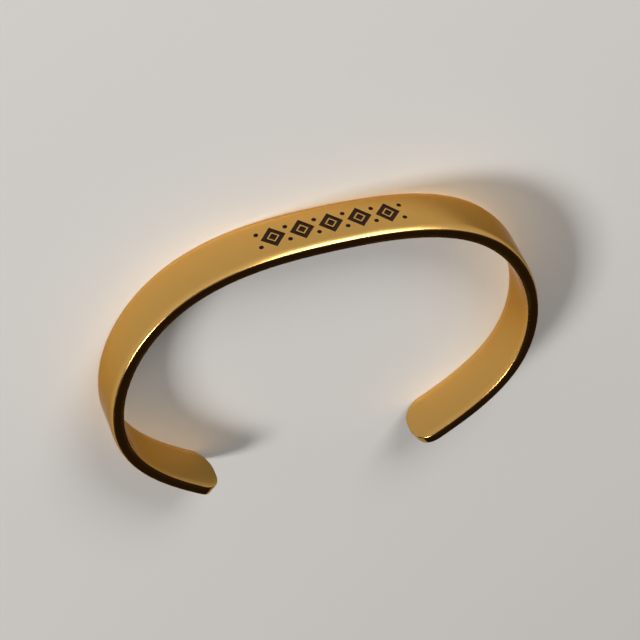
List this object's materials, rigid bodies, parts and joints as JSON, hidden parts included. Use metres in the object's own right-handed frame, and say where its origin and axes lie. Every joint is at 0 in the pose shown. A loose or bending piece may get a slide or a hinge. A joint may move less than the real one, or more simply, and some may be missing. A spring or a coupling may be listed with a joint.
{
  "type": "kada cuff bangle",
  "caption": "Open oval cuff bangle: one flat polished gold strip with rounded ends, bent round the wrist, with a gap at the back.",
  "frame": {"origin": "under the middle of the oval, in the plane of the lower edge that it rests on", "axes": "+Z across the strip's width, +X along the oval's long axis, -Y towards the middle of the strip, +Y towards the open gap"},
  "size_m": [0.0694, 0.0528, 0.008],
  "materials": {
    "polished_gold": "mirror-polished yellow gold plating"
  },
  "bodies": {
    "root": {"cuff_band": "polished_gold"}
  },
  "joints": []
}
